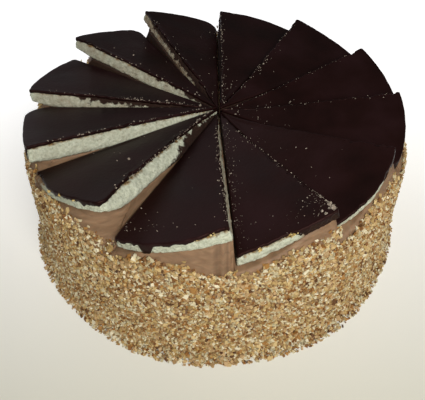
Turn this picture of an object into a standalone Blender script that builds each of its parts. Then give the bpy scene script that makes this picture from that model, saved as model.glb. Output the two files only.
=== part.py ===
"""A round chocolate cake about 26 cm across, cut for twelve portions.

A drum of milk-chocolate cream, its side coated with chopped roasted nuts,
carries a fan of twelve flat sponge slices. Each slice is glazed with dark
chocolate and lies tilted sideways: its clockwise cut edge is low, and its
other cut edge is raised on a wedge of cream, so that the top is a saw-tooth.
Metres, +Z up, origin at the middle of the underside.
"""
import math
import random
from collections import namedtuple

import bmesh
import bpy
from mathutils import Euler, Vector

MM = 0.001

# The drum, over its coat of nuts
FOOT_RADIUS = 137 * MM
WALL_RADIUS = 128.6 * MM
SHOULDER_RADIUS = 124.5 * MM
CREST_RADIUS = 116 * MM
CREAM_HEIGHT = 78 * MM
CREST_HEIGHT = 100 * MM
DRUM_TOP = 112 * MM
PILE_FALL = 5 * MM
FOOT_WAVE = 1.2 * MM
DRUM_SEGMENTS = 120
WALL_ROWS = (0, 3, 8, 16, 24, 32, 40, 48, 56, 63, 70, 77, 84, 92, 100)

# The nut coat: bumps of grain size all over, and the largest grains fused on
COAT_BUMP = 0.9 * MM
COAT_TOP = 84.5 * MM
COAT_WAVE = 1.5 * MM
DIP_AZIMUTH = -90
DIP_WIDTH = 5
DIP_DEPTH = 8 * MM
GRAINS = 145
GRAIN_LENGTH = (3.4 * MM, 4.8 * MM)
GRAIN_FLATNESS = (0.55, 0.85)
GRAIN_CHIP = 0.16
GRAIN_LOWEST = 3.4 * MM
GOLDEN_RATIO = 0.61803398875

# The fan of slices, about its own centre
FAN_CENTRE = Vector((2.5 * MM, 4 * MM, 0))
SPONGE_TOP = 6.4 * MM
TAPER = 12 * MM
UNDER_INSET = 0.4 * MM
GLAZE_THICKNESS = 1.6 * MM
GAP = 0.3 * MM
TIP_CLEARANCE = 1.2 * MM
TIP_ZONE = 25 * MM
LIP_REACH = 0.8 * MM
GLAZE_ROUND = 0.5 * MM
GLAZE_INSET = 0.35 * MM
DRIP = (0.4 * MM, 1.6 * MM)
CRUMB_DEPTH = 0.45 * MM
RIM_STEPS = 13
RAISED_STEPS = 9
LOW_STEPS = 3
RAISED_CORNER = 1.5 * MM
CUTTER_REACH = 170 * MM
CUTTER_SLACK = 1 * MM
CUTTER_TOP = 160 * MM

# The slices are laid by hand, so no two lie alike. In plan, in degrees: where
# the low cut edge runs and how wide the slice is. Then its sideways tilt, and
# in millimetres its lift, its reach from the fan's centre, the outward bow of
# its rim and the radius of its low corner. Then the thickness of its sponge,
# inside and at the rim. Last, the shares of the rim, from the low corner on,
# that chocolate covers down to the cream.
Slice = namedtuple("Slice", "lead width tilt lift reach bow corner thick rim coated")
SLICES = (
    Slice(-117, 30, 18.5, -1.5, 122, 2.5, 2, 7, 5.8, ((0.27, 0.37),)),
    Slice(-86.5, 27, 17.5, -1, 122, -2, 1.5, 7, 5.2, ((0, 0.05),)),
    Slice(-59.2, 29.2, 20.4, -2, 116.5, 2.5, 3, 6.5, 3.5, ((0.8, 1),)),
    Slice(-29.7, 31.2, 13.3, -0.4, 117.5, 0, 11, 7, 6, ((0, 1),)),
    Slice(1.8, 28.2, 14.4, -1, 119.5, 0, 3, 7, 6, ((0, 1),)),
    Slice(30.3, 29.2, 12.4, 1, 119.5, -1, 2, 7, 6, ((0, 0.4),)),
    Slice(59.8, 30.2, 10.3, 0, 121, 0.5, 2, 7, 6, ((0.3, 0.7),)),
    Slice(90.3, 30.2, 20.2, -2, 120.3, 0, 12, 6.6, 5.8, ((0, 0.5),)),
    Slice(120.8, 28.2, 15.8, 0.4, 125.8, -1, 9, 7.4, 6.4, ((0.5, 0.92),)),
    Slice(149.3, 30.2, 12.1, 0, 125.2, -1, 2, 9.2, 6.2, ((0.2, 0.92),)),
    Slice(179.8, 30.2, 14.9, 1.8, 125.5, -2.5, 18, 10, 8.5, ((0, 0.94),)),
    Slice(210.3, 32.2, 18.5, 1, 124.5, 0.5, 3, 9, 5, ((0, 0.12),)),
)


def clear_scene():
    for item in list(bpy.data.objects):
        bpy.data.objects.remove(item, do_unlink=True)


def collection(name):
    group = bpy.data.collections.new(name)
    bpy.context.scene.collection.children.link(group)
    return group


def material(name, colour, roughness, metallic=0.0):
    made = bpy.data.materials.new(name)
    made.use_nodes = True
    shader = made.node_tree.nodes["Principled BSDF"]
    shader.inputs["Base Color"].default_value = (*colour, 1)
    shader.inputs["Roughness"].default_value = roughness
    shader.inputs["Metallic"].default_value = metallic
    return made


def add_mesh(name, bm, group):
    """Turns a bmesh into an object in the given collection."""
    mesh = bpy.data.meshes.new(name)
    bm.to_mesh(mesh)
    bm.free()
    item = bpy.data.objects.new(name, mesh)
    group.objects.link(item)
    return item


def loft(rings):
    """A closed skin through rings of equal count, from a bottom cap to a top cap."""
    bm = bmesh.new()
    rows = [[bm.verts.new(point) for point in ring] for ring in rings]
    count = len(rows[0])
    bm.faces.new(list(reversed(rows[0])))
    bm.faces.new(rows[-1])
    for below, above in zip(rows, rows[1:]):
        for i in range(count):
            j = (i + 1) % count
            bm.faces.new((below[i], below[j], above[j], above[i]))
    bmesh.ops.remove_doubles(bm, verts=bm.verts, dist=0.001 * MM)
    bmesh.ops.recalc_face_normals(bm, faces=bm.faces)
    return bm


def apply_modifiers(item):
    """Replaces the object's mesh by what its modifiers make of it."""
    graph = bpy.context.evaluated_depsgraph_get()
    made = bpy.data.meshes.new_from_object(item.evaluated_get(graph))
    item.modifiers.clear()
    item.data = made


def boolean(item, operation, group):
    step = item.modifiers.new(operation.title(), "BOOLEAN")
    step.operation = operation
    step.operand_type = "COLLECTION"
    step.collection = group
    step.solver = "EXACT"
    apply_modifiers(item)


def drop_loose_scraps(bm):
    """Keeps only the largest connected shell."""
    left = set(bm.verts)
    shells = []
    while left:
        shell = {left.pop()}
        front = list(shell)
        while front:
            vert = front.pop()
            fresh = {link.other_vert(vert) for link in vert.link_edges} - shell
            shell |= fresh
            front.extend(fresh)
        left -= shell
        shells.append(shell)
    shells.sort(key=len)
    scraps = [vert for shell in shells[:-1] for vert in shell]
    bmesh.ops.delete(bm, geom=scraps, context="VERTS")


def wall_radius(height):
    """Radius of the drum over its nuts, at a height above the foot."""
    if height > CREAM_HEIGHT:
        share = min(1, (height - CREAM_HEIGHT) / (CREST_HEIGHT - CREAM_HEIGHT))
        return SHOULDER_RADIUS + (CREST_RADIUS - SHOULDER_RADIUS) * share
    wall = WALL_RADIUS + (SHOULDER_RADIUS - WALL_RADIUS) * height / CREAM_HEIGHT
    return wall + foot_pile(height)


def foot_pile(height):
    """How far the loose nuts round the foot stand out from the wall."""
    return (FOOT_RADIUS - WALL_RADIUS) * math.exp(-height / PILE_FALL)


def bed(piece):
    """The slice's own axes: tip, along its low edge, across it uphill, and up."""
    lead = math.radians(piece.lead)
    tilt = math.radians(piece.tilt)
    middle = math.radians(piece.lead + piece.width / 2)
    along = Vector((math.cos(lead), math.sin(lead), 0))
    sideways = Vector((-math.sin(lead), math.cos(lead), 0))
    across = sideways * math.cos(tilt) + Vector((0, 0, math.sin(tilt)))
    tip = FAN_CENTRE + Vector((math.cos(middle), math.sin(middle), 0)) * TIP_CLEARANCE
    tip.z = CREAM_HEIGHT + piece.lift * MM
    return tip, along, across, along.cross(across)


def bed_height(piece, x, y, level=0):
    """Height of the slice's own plane over the point x, y, raised or lowered to a level."""
    tip, _, _, up = bed(piece)
    return tip.z - (up.x * (x - tip.x) + up.y * (y - tip.y) - level) / up.z


def span(piece):
    """The slice's angle in its own tilted plane."""
    width = math.radians(piece.width)
    return math.atan2(math.sin(width), math.cos(width) * math.cos(math.radians(piece.tilt)))


def corner_cut(distance, radius):
    """How far a round corner draws the rim in, at a distance from the cut side."""
    if distance >= radius:
        return 0
    return radius - math.sqrt(radius ** 2 - (radius - distance) ** 2)


def underside(piece, distance):
    """Level of the sponge's underside, which rises to a thinner rim."""
    inside = SPONGE_TOP - piece.thick * MM
    start = piece.reach * MM - TAPER
    share = (distance - start) / (TAPER - RAISED_CORNER)
    return inside + (piece.thick - piece.rim) * MM * min(1, max(0, share))


def outline(piece, height, rim_out=0, inset=0, rng=None, drops=None, scale=1):
    """World points round a slice at a height, less each point's drop.

    The height is a level in the slice's own axes, or a function that gives
    the level at a distance from the tip. Both cut sides stand upright near
    the tip, where the slices meet. The low side, and all that is below the
    slice's plane, stays upright all the way, clear of the neighbours.
    """
    level_at = height if callable(height) else (lambda distance: height)
    tip, along, across, up = bed(piece)
    rise = math.tan(math.radians(piece.tilt))
    wide = span(piece)
    reach = piece.reach * MM
    round_low = piece.corner * MM
    nibble = (lambda: rng.uniform(0, CRUMB_DEPTH)) if rng else (lambda: 0)
    points = []
    for step in range(LOW_STEPS + 1):
        distance = (reach - round_low) * step / LOW_STEPS
        level = level_at(distance)
        v = level * rise + (inset if step else 0)
        points.append(tip + along * (distance * scale + inset) + across * v + up * level)
    for step in range(RIM_STEPS + 1):
        share = rim_share(step)
        angle = wide * share
        radius = reach + piece.bow * MM * math.sin(math.pi * share)
        radius -= corner_cut(reach * angle, round_low)
        radius -= corner_cut(reach * (wide - angle), RAISED_CORNER)
        level = level_at(radius) - (drops[step] if drops else 0)
        radius = (radius + rim_out - nibble()) * scale
        narrower = 1 - level * rise / (reach * math.sin(wide))
        v = level * rise + radius * math.sin(angle) * narrower
        points.append(tip + along * radius * math.cos(angle) + across * v + up * level)
    for step in range(RAISED_STEPS, 0, -1):
        distance = (reach - RAISED_CORNER) * step / RAISED_STEPS
        level = level_at(distance)
        upright = 1 if level < 0 else max(0, 1 - distance / TIP_ZONE)
        draw = inset + nibble() * max(0, 1 - TIP_ZONE / distance)
        u = distance * scale * math.cos(wide) + draw * math.sin(wide)
        v = distance * scale * math.sin(wide) + level * rise * upright - draw * math.cos(wide)
        points.append(tip + along * u + across * v + up * level)
    return points


def rim_share(step):
    """Share of the rim at a step, with the steps closer together at both corners."""
    share = step / RIM_STEPS
    return share - 0.9 * math.sin(share * math.tau) / math.tau


def make_sponge(index, piece, group, look):
    """One flat sponge slice, thinner at the rim, its cut sides and rim a little crumbly."""
    rng = random.Random(100 + index)
    scale = 1 - TAPER / (piece.reach * MM)
    rings = [
        outline(piece, underside(piece, 0), inset=UNDER_INSET, scale=scale),
        outline(piece, lambda distance: underside(piece, distance), rng=rng),
        outline(piece, lambda distance: (underside(piece, distance) + SPONGE_TOP) / 2, rng=rng),
        outline(piece, SPONGE_TOP, rng=rng),
    ]
    item = add_mesh(f"sponge_slice_{index + 1:02d}", loft(rings), group)
    item.data.materials.append(look)
    return item


def make_glaze(index, piece, group, look):
    """The chocolate on one slice: a flat coat with a lip that drips down the rim."""
    rng = random.Random(200 + index)
    under = SPONGE_TOP + GAP
    top = under + GLAZE_THICKNESS
    drops = []
    for step in range(RIM_STEPS + 1):
        coated = any(start <= rim_share(step) <= end for start, end in piece.coated)
        drops.append((piece.rim - rng.uniform(0, 1)) * MM if coated else rng.uniform(*DRIP))
    rings = [
        outline(piece, under, rim_out=GAP),
        outline(piece, under, rim_out=GAP, drops=drops),
        outline(piece, under, rim_out=LIP_REACH, drops=drops),
        outline(piece, top - GLAZE_ROUND, rim_out=LIP_REACH),
        outline(piece, top, rim_out=LIP_REACH - GLAZE_ROUND, inset=GLAZE_INSET),
    ]
    item = add_mesh(f"glaze_slice_{index + 1:02d}", loft(rings), group)
    item.data.materials.append(look)
    return item


def slice_over(azimuth):
    """The slice whose sector holds an azimuth in degrees, seen from the fan's centre."""
    for piece, after in zip(SLICES, SLICES[1:] + SLICES[:1]):
        sector = (after.lead - piece.lead) % 360
        if (azimuth - piece.lead) % 360 < sector:
            return piece
    return SLICES[0]


def coat_line(x, y):
    """Height at which the nuts end: a level line, lower where the cream is low."""
    azimuth = math.degrees(math.atan2(y, x))
    fan_azimuth = math.degrees(math.atan2(y - FAN_CENTRE.y, x - FAN_CENTRE.x))
    turn = math.radians(azimuth)
    wave = math.sin(5 * turn + 1) + 0.6 * math.sin(11 * turn)
    dip = math.exp(-((azimuth - DIP_AZIMUTH) / DIP_WIDTH) ** 2)
    line = COAT_TOP + COAT_WAVE * wave - DIP_DEPTH * dip
    over = slice_over(fan_azimuth)
    return min(line, bed_height(over, x, y, underside(over, over.reach * MM)) - 1 * MM)


def make_drum(group):
    """The turned drum, with grain-sized bumps wherever the nut coat is."""
    bm = bmesh.new()
    profile = [(0, DRUM_TOP), (CREST_RADIUS, DRUM_TOP)]
    profile += [(wall_radius(row * MM) - COAT_BUMP, row * MM) for row in reversed(WALL_ROWS)]
    profile.append((0, 0))
    verts = [bm.verts.new((x, 0, z)) for x, z in profile]
    for above, below in zip(verts, verts[1:]):
        bm.edges.new((above, below))
    drum = add_mesh("cake_body", bm, group)
    turn = drum.modifiers.new("Turn", "SCREW")
    turn.steps = DRUM_SEGMENTS
    turn.render_steps = DRUM_SEGMENTS
    turn.use_merge_vertices = True
    turn.merge_threshold = 0.01 * MM
    turn.use_normal_calculate = True
    apply_modifiers(drum)

    rng = random.Random(7)
    for vert in drum.data.vertices:
        x, y, z = vert.co
        radius = math.hypot(x, y)
        if radius < CREST_RADIUS or z > coat_line(x, y):
            continue
        turn = math.atan2(y, x)
        pile_share = foot_pile(z) / foot_pile(0)
        wave = FOOT_WAVE * (math.sin(3 * turn) + 0.7 * math.sin(7 * turn + 2)) * pile_share
        scale = (radius + rng.uniform(-COAT_BUMP, COAT_BUMP) + wave) / radius
        vert.co.x = x * scale
        vert.co.y = y * scale
    return drum


def make_cutters(group):
    """For each slice, the wedge of space above its cream, whose floor rises under the rim."""
    for index, piece in enumerate(SLICES):
        start = SLICES[index - 1].lead + SLICES[index - 1].width
        end = piece.lead + piece.width
        while start > end:
            start -= 360
        rays = [Vector((math.cos(math.radians(a)), math.sin(math.radians(a)), 0)) for a in (start, end)]
        over = Vector((-rays[1].y, rays[1].x, 0)) * GAP
        apex = FAN_CENTRE - rays[0] * (GAP / math.sin(math.radians(end - start)))
        spread = 1 / math.cos(math.radians(end - start) / 2)
        reach = (piece.reach + max(0, piece.bow)) * MM + TIP_CLEARANCE
        inner = (reach - TAPER + CUTTER_SLACK) * spread
        outer = (reach + CUTTER_SLACK) * spread
        plan = [(apex, underside(piece, 0))]
        for distance in (inner, outer, CUTTER_REACH):
            level = underside(piece, 0 if distance == inner else distance)
            plan.append((FAN_CENTRE + rays[0] * distance, level))
            plan.append((FAN_CENTRE + over + rays[1] * distance, level))
        bm = bmesh.new()
        low = [bm.verts.new((p.x, p.y, bed_height(piece, p.x, p.y, level) - GAP)) for p, level in plan]
        high = [bm.verts.new((p.x, p.y, CUTTER_TOP)) for p, _ in plan]
        for floor in ((0, 1, 2), (1, 3, 4, 2), (3, 5, 6, 4)):
            bm.faces.new([low[i] for i in floor])
            bm.faces.new([high[i] for i in floor])
        rim = (0, 1, 3, 5, 6, 4, 2)
        for here, after in zip(rim, rim[1:] + rim[:1]):
            bm.faces.new((low[here], low[after], high[after], high[here]))
        bmesh.ops.recalc_face_normals(bm, faces=bm.faces)
        cutter = add_mesh(f"cut_{index + 1:02d}", bm, group)
        cutter.hide_render = True
        cutter.display_type = "WIRE"


def make_grains(group):
    """The largest nut grains, spread evenly over the coat."""
    rng = random.Random(31)
    for index in range(GRAINS):
        turn = math.tau * ((index * GOLDEN_RATIO) % 1)
        length = rng.uniform(*GRAIN_LENGTH)
        height = GRAIN_LOWEST + (COAT_TOP - GRAIN_LOWEST) * (index + 0.5) / GRAINS
        radius = wall_radius(height)
        line = coat_line(radius * math.cos(turn), radius * math.sin(turn))
        height = min(height, line - length / 2)
        out = wall_radius(height) - COAT_BUMP
        bm = bmesh.new()
        bmesh.ops.create_icosphere(bm, subdivisions=1, radius=0.5)
        sizes = (length, length * rng.uniform(*GRAIN_FLATNESS), length * rng.uniform(*GRAIN_FLATNESS))
        spin = Euler([rng.uniform(0, math.tau) for _ in range(3)]).to_matrix()
        for vert in bm.verts:
            chip = 1 + rng.uniform(-GRAIN_CHIP, GRAIN_CHIP)
            vert.co = spin @ Vector([c * s * chip for c, s in zip(vert.co, sizes)])
        grain = add_mesh(f"grain_{index + 1:03d}", bm, group)
        grain.location = (out * math.cos(turn), out * math.sin(turn), height)


def make_body(group, look):
    """The cream drum: cut to a saw-tooth under the slices, with grains fused on."""
    drum = make_drum(group)
    cutters = collection("cutters")
    make_cutters(cutters)
    boolean(drum, "DIFFERENCE", cutters)

    grains = collection("grains")
    make_grains(grains)
    boolean(drum, "UNION", grains)
    for grain in list(grains.objects):
        bpy.data.objects.remove(grain, do_unlink=True)
    bpy.data.collections.remove(grains)

    bm = bmesh.new()
    bm.from_mesh(drum.data)
    drop_loose_scraps(bm)
    bm.to_mesh(drum.data)
    bm.free()
    drum.data.materials.clear()
    drum.data.materials.append(look)
    return drum


def main():
    clear_scene()
    cake = collection("chocolate_cake")
    nuts = material("chopped_nuts_on_milk_chocolate_cream", (0.36, 0.21, 0.09), 0.75)
    sponge = material("pale_sponge", (0.68, 0.62, 0.36), 0.9)
    glaze = material("dark_chocolate_glaze", (0.016, 0.007, 0.006), 0.35)
    make_body(cake, nuts)
    for index, piece in enumerate(SLICES):
        make_sponge(index, piece, cake, sponge)
        make_glaze(index, piece, cake, glaze)


main()
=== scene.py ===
import math
from collections import namedtuple

import bpy
import numpy as np
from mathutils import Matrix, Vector, noise


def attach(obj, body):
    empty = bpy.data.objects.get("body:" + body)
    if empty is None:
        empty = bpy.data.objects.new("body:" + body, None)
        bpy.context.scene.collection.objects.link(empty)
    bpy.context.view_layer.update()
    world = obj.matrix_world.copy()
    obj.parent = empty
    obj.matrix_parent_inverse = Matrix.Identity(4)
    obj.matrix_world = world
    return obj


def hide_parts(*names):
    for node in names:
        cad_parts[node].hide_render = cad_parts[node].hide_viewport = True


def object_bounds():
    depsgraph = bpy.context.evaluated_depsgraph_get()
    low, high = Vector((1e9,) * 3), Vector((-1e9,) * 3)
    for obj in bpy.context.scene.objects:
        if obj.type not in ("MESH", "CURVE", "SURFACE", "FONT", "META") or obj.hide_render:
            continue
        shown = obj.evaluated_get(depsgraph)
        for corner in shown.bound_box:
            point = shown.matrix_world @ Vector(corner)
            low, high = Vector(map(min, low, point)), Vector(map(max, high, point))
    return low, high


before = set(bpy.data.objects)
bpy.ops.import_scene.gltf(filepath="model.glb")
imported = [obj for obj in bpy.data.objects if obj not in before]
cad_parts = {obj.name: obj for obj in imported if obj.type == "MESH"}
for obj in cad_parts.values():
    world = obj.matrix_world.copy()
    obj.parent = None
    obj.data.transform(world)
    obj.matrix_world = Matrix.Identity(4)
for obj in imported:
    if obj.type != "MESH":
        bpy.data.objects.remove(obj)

# A round chocolate cake, dressed: milk-chocolate cream under chopped roasted
# nuts, and on it a fan of twelve sponge slices glazed with dark chocolate.
MM = 0.001
CAD_LOW, CAD_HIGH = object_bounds()

# The drum, as in the solids
FOOT_RADIUS = 137 * MM
WALL_RADIUS = 128.6 * MM
SHOULDER_RADIUS = 124.5 * MM
CREST_RADIUS = 116 * MM
CREAM_HEIGHT = 78 * MM
CREST_HEIGHT = 100 * MM
PILE_FALL = 5 * MM
FOOT_WAVE = 1.2 * MM
COAT_DEPTH = 0.9 * MM
COAT_TOP = 84.5 * MM
COAT_WAVE = 1.5 * MM
DIP_AZIMUTH = -90
DIP_WIDTH = 5
DIP_DEPTH = 8 * MM

# The fan of slices, as in the solids
FAN_CENTRE = Vector((2.5 * MM, 4 * MM, 0))
SPONGE_TOP = 6.4 * MM
TAPER = 12 * MM
GLAZE_THICKNESS = 1.6 * MM
GAP = 0.3 * MM
TIP_CLEARANCE = 1.2 * MM
TIP_ZONE = 25 * MM
LIP_REACH = 0.6 * MM
RAISED_CORNER = 1.5 * MM
Slice = namedtuple("Slice", "lead width tilt lift reach bow corner thick rim coated")
SLICES = (
    Slice(-117, 30, 18.5, -1.5, 122, 2.5, 2, 7, 5.8, ((0.27, 0.37),)),
    Slice(-86.5, 27, 17.5, -1, 122, -2, 1.5, 7, 5.2, ((0, 0.05),)),
    Slice(-59.2, 29.2, 20.4, -2, 116.5, 2.5, 3, 6.5, 3.5, ((0.8, 1),)),
    Slice(-29.7, 31.2, 13.3, -0.4, 117.5, 0, 11, 7, 6, ((0, 1),)),
    Slice(1.8, 28.2, 14.4, -1, 119.5, 0, 3, 7, 6, ((0, 1),)),
    Slice(30.3, 29.2, 12.4, 1, 119.5, -1, 2, 7, 6, ((0, 0.4),)),
    Slice(59.8, 30.2, 10.3, 0, 121, 0.5, 2, 7, 6, ((0.3, 0.7),)),
    Slice(90.3, 30.2, 20.2, -2, 120.3, 0, 12, 6.6, 5.8, ((0, 0.5),)),
    Slice(120.8, 28.2, 15.8, 0.4, 125.8, -1, 9, 7.4, 6.4, ((0.5, 0.92),)),
    Slice(149.3, 30.2, 12.1, 0, 125.2, -1, 2, 9.2, 6.2, ((0.2, 0.92),)),
    Slice(179.8, 30.2, 14.9, 1.8, 125.5, -2.5, 18, 10, 8.5, ((0, 0.94),)),
    Slice(210.3, 32.2, 18.5, 1, 124.5, 0.5, 3, 9, 5, ((0, 0.12),)),
)


def linear(code):
    """An sRGB hex colour as linear RGBA."""
    parts = [int(code[i:i + 2], 16) / 255 for i in (1, 3, 5)]
    return [c / 12.92 if c <= 0.04045 else ((c + 0.055) / 1.055) ** 2.4 for c in parts] + [1]


def add(tree, kind, settings=None, links=None):
    """Adds a node, sets its properties and sockets, and links its inputs."""
    node = tree.nodes.new(kind)
    for key, value in (settings or {}).items():
        if isinstance(key, str) and hasattr(node, key):
            setattr(node, key, value)
        else:
            node.inputs[key].default_value = value
    for key, source in (links or {}).items():
        tree.links.new(source, node.inputs[key])
    return node


def colour_steps(tree, factor, *steps):
    """A colour ramp over a factor: steps are (position, hex colour)."""
    ramp = add(tree, "ShaderNodeValToRGB", None, {"Fac": factor})
    band = ramp.color_ramp.elements
    while len(band) < len(steps):
        band.new(0.5)
    for stop, (position, code) in zip(band, steps):
        stop.position = position
        stop.color = linear(code)
    return ramp.outputs["Color"]


def new_material(name, roughness, **shader_values):
    """A material with its shader's constant values set, and its coordinates in metres."""
    made = bpy.data.materials.new(name)
    made.use_nodes = True
    tree = made.node_tree
    shader = tree.nodes["Principled BSDF"]
    shader.inputs["Roughness"].default_value = roughness
    for key, value in shader_values.items():
        shader.inputs[key.replace("_", " ")].default_value = value
    place = add(tree, "ShaderNodeTexCoord").outputs["Object"]
    return made, tree, shader, place


def bump(tree, shader, height, depth):
    """Relief of a real depth in metres, from a height pattern."""
    made = add(tree, "ShaderNodeBump", {"Strength": 1.0, "Distance": depth}, {"Height": height})
    tree.links.new(made.outputs["Normal"], shader.inputs["Normal"])


def per_mm(size):
    """Texture scale whose features are about this many millimetres across."""
    return 1 / (size * MM)


def dark_chocolate():
    """Poured dark chocolate: near-black brown, satin, with faint streaks from the palette knife."""
    made, tree, shader, place = new_material(
        "poured_dark_chocolate", 0.36, IOR=1.45, Specular_IOR_Level=0.16, Specular_Tint=linear("#ffc8be"),
    )
    cloud = add(tree, "ShaderNodeTexNoise", {"Scale": per_mm(28), "Detail": 3}, {"Vector": place})
    tone = colour_steps(tree, cloud.outputs["Fac"], (0.3, "#140908"), (0.5, "#1c0d0c"), (0.72, "#231314"))
    tree.links.new(tone, shader.inputs["Base Color"])
    grain = add(tree, "ShaderNodeTexNoise", {"Scale": per_mm(2.2), "Detail": 4}, {"Vector": place})
    gloss = add(
        tree, "ShaderNodeMapRange",
        {"From Min": 0.3, "From Max": 0.7, "To Min": 0.38, "To Max": 0.5}, {"Value": cloud.outputs["Fac"]},
    )
    tree.links.new(gloss.outputs["Result"], shader.inputs["Roughness"])
    bump(tree, shader, grain.outputs["Fac"], 0.12 * MM)
    return made


def pale_sponge():
    """Baked light sponge: an open pale crumb, browner in the thin crust under the chocolate."""
    made, tree, shader, place = new_material(
        "baked_pale_sponge", 0.92, Subsurface_Weight=0.12, Subsurface_Scale=1.5 * MM,
        Subsurface_Radius=(1, 0.85, 0.7), Specular_IOR_Level=0.2,
    )
    crumb = add(
        tree, "ShaderNodeTexNoise", {"Scale": per_mm(1.6), "Detail": 6, "Roughness": 0.65}, {"Vector": place},
    )
    tone = colour_steps(
        tree, crumb.outputs["Fac"], (0.3, "#9b9f8d"), (0.45, "#b7bca8"), (0.6, "#c8cdba"), (0.75, "#d8dbcb"),
    )
    level = add(tree, "ShaderNodeAttribute", {"attribute_name": "height_share"})
    ragged = add(tree, "ShaderNodeTexNoise", {"Scale": per_mm(3.5), "Detail": 4}, {"Vector": place})
    edge = add(
        tree, "ShaderNodeMath", {"operation": "MULTIPLY_ADD", 1: 0.55},
        {0: ragged.outputs["Fac"], 2: level.outputs["Fac"]},
    )
    crust = add(
        tree, "ShaderNodeMapRange", {"From Min": 1.16, "From Max": 1.32}, {"Value": edge.outputs["Value"]},
    )
    brown = colour_steps(tree, crumb.outputs["Fac"], (0.35, "#4d3620"), (0.55, "#7d6239"), (0.7, "#a98c58"))
    mixed = add(
        tree, "ShaderNodeMix", {"data_type": "RGBA"},
        {0: crust.outputs["Result"], 6: tone, 7: brown},
    )
    smear_and_shade_level = add(tree, "ShaderNodeAttribute", {"attribute_name": "smear_and_shade"})
    patch = add(tree, "ShaderNodeTexNoise", {"Scale": per_mm(5), "Detail": 4}, {"Vector": place})
    reach = add(
        tree, "ShaderNodeMath", {"operation": "MULTIPLY_ADD", 1: 1.6, 2: -0.8},
        {0: patch.outputs["Fac"]},
    )
    laid = add(
        tree, "ShaderNodeMath", {"operation": "MULTIPLY_ADD", 1: 1.0, "use_clamp": True},
        {0: smear_and_shade_level.outputs["Fac"], 2: reach.outputs["Value"]},
    )
    share = add(
        tree, "ShaderNodeMath", {"operation": "MULTIPLY"},
        {0: laid.outputs["Value"], 1: smear_and_shade_level.outputs["Fac"]},
    )
    # Brown where cream is smeared on the sponge, and painted shade on the cut faces of slices 8 to 10
    brown_smear_and_shade = add(
        tree, "ShaderNodeMix", {"data_type": "RGBA", 7: linear("#7d634a")},
        {0: share.outputs["Value"], 6: mixed.outputs[2]},
    )
    dragged_and_shaded = add(tree, "ShaderNodeAttribute", {"attribute_name": "drag_and_shade"})
    ragged_drag_and_shade = add(
        tree, "ShaderNodeMath", {"operation": "MULTIPLY_ADD", 1: 1.2},
        {0: ragged.outputs["Fac"], 2: dragged_and_shaded.outputs["Fac"]},
    )
    dark_share = add(
        tree, "ShaderNodeMapRange", {"From Min": 1.0, "From Max": 1.16},
        {"Value": ragged_drag_and_shade.outputs["Value"]},
    )
    # Dark where chocolate is dragged over the sponge, and painted shade toward the tip and at the foot of the
    # back slices' cut faces
    finished = add(
        tree, "ShaderNodeMix", {"data_type": "RGBA", 7: linear("#2c1c15")},
        {0: dark_share.outputs["Result"], 6: brown_smear_and_shade.outputs[2]},
    )
    tree.links.new(finished.outputs[2], shader.inputs["Base Color"])
    bump(tree, shader, crumb.outputs["Fac"], 0.7 * MM)
    return made


def milk_cream():
    """Whipped milk-chocolate cream, spread with a palette knife: matt, with long soft streaks."""
    made, tree, shader, place = new_material(
        "spread_milk_chocolate_cream", 0.62, Subsurface_Weight=0.08, Subsurface_Scale=2 * MM,
        Specular_IOR_Level=0.3,
    )
    stretch = add(tree, "ShaderNodeMapping", {"Scale": (1, 1, 3.2)}, {"Vector": place})
    streak = add(
        tree, "ShaderNodeTexNoise", {"Scale": per_mm(9), "Detail": 4, "Distortion": 0.6},
        {"Vector": stretch.outputs["Vector"]},
    )
    tone = colour_steps(tree, streak.outputs["Fac"], (0.3, "#765d46"), (0.5, "#846950"), (0.72, "#93765b"))
    # Darker where chocolate is smeared on the cream, and painted shade at the back steps and in the knife
    # cuts
    smear_and_shade_level = add(tree, "ShaderNodeAttribute", {"attribute_name": "smear_and_shade"})
    smeared_and_shaded = add(
        tree, "ShaderNodeMix", {"data_type": "RGBA", 7: linear("#2e1e17")},
        {0: smear_and_shade_level.outputs["Fac"], 6: tone},
    )
    tree.links.new(smeared_and_shaded.outputs[2], shader.inputs["Base Color"])
    bump(tree, shader, streak.outputs["Fac"], 0.45 * MM)
    return made


def roasted_nut(name, dark, middle, light):
    """Chopped roasted nut: matt broken faces, each grain its own shade."""
    made, tree, shader, place = new_material(name, 0.66, Specular_IOR_Level=0.3)
    each = add(tree, "ShaderNodeNewGeometry").outputs["Random Per Island"]
    speck = add(tree, "ShaderNodeTexNoise", {"Scale": per_mm(1.1), "Detail": 3}, {"Vector": place})
    shade = add(
        tree, "ShaderNodeMath", {"operation": "MULTIPLY_ADD", 1: 0.45},
        {0: speck.outputs["Fac"], 2: each},
    )
    tone = colour_steps(tree, shade.outputs["Value"], (0.2, dark), (0.7, middle), (1.0, light))
    tree.links.new(tone, shader.inputs["Base Color"])
    bump(tree, shader, speck.outputs["Fac"], 0.25 * MM)
    return made


def mesh_piece(name, points, faces, look, smooth=True):
    """An object from points and faces, in one material."""
    mesh = bpy.data.meshes.new(name)
    mesh.from_pydata(np.asarray(points).tolist(), [], list(faces))
    mesh.validate()
    mesh.materials.append(look)
    if smooth:
        mesh.shade_smooth()
    item = bpy.data.objects.new(name, mesh)
    bpy.context.scene.collection.objects.link(item)
    return item


def store_values(item, name, values):
    """Keeps a value for each point of a piece, which its material reads by name."""
    store = item.data.attributes.new(name, "FLOAT", "POINT")
    store.data.foreach_set("value", values.astype(np.float32))


def grid_faces(rows, columns):
    """Quads of a grid of points, whose columns close round."""
    row = np.arange(rows - 1)[:, None] * columns
    here = np.arange(columns)[None, :]
    after = (here + 1) % columns
    quads = np.stack([row + here, row + after, row + columns + after, row + columns + here], -1)
    return quads.reshape(-1, 4)


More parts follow.
